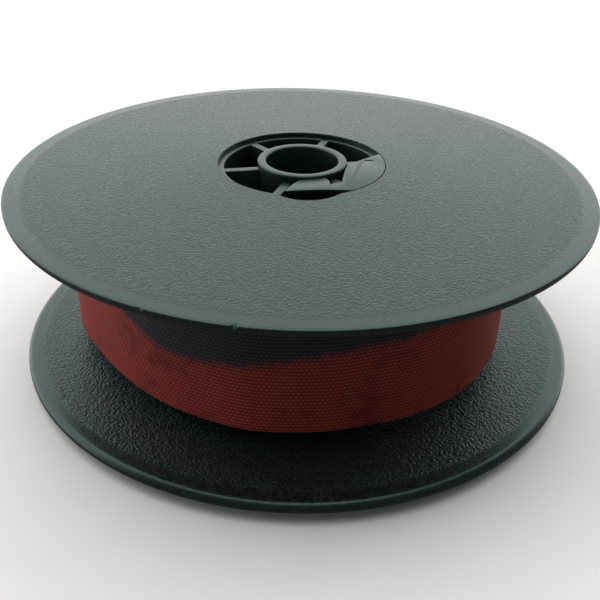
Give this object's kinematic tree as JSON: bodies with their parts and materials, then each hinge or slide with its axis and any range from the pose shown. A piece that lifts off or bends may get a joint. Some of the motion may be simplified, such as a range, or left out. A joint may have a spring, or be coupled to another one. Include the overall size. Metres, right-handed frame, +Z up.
{
  "type": "ribbon spool",
  "caption": "Flanged plastic spool with a ribbed hub and spindle bore, wound with an inked two-colour woven ribbon that has a free hooked end.",
  "frame": {"origin": "on the spindle axis, at the lower end of the centre tube, which the spool stands on", "axes": "+Z up along the spindle axis towards the flange that carries the ribbon end clip; +X to the right and -Y to the front, the side across which the clip's front edge lies"},
  "size_m": [0.0508, 0.0508, 0.0184],
  "materials": {
    "moulded_polystyrene": "black-green moulded polystyrene with a fine spark-eroded texture",
    "clip_polystyrene": "smooth black-green moulded polystyrene",
    "inked_nylon": "plain-woven nylon tape inked red along its lower half and black along its upper half",
    "plated_steel": "tin-plated sheet steel",
    "eyelet_brass": "rolled brass"
  },
  "bodies": {
    "spool": {"hub_core": "moulded_polystyrene", "upper_flange": "moulded_polystyrene", "lower_flange": "moulded_polystyrene", "ribbon_winding": "inked_nylon", "ribbon_inner_end": "inked_nylon", "ribbon_outer_lap": "inked_nylon", "outer_eyelet": "eyelet_brass", "inner_eyelet": "eyelet_brass"},
    "end_clip": {"ribbon_end_clip": "clip_polystyrene"},
    "free_end": {"ribbon_free_end": "inked_nylon", "end_hook": "plated_steel"}
  },
  "joints": [
    {"name": "clip_lift", "type": "slide", "parent": "spool", "child": "end_clip", "axis": [0, 0, 1], "range_m": [0, 0.0095]},
    {"name": "free_end_peel", "type": "hinge", "parent": "spool", "child": "free_end", "pos_m": [-0.01219, 0.01452, 0.00993], "axis": [0, 0, 1], "range_deg": [0, 70]}
  ]
}
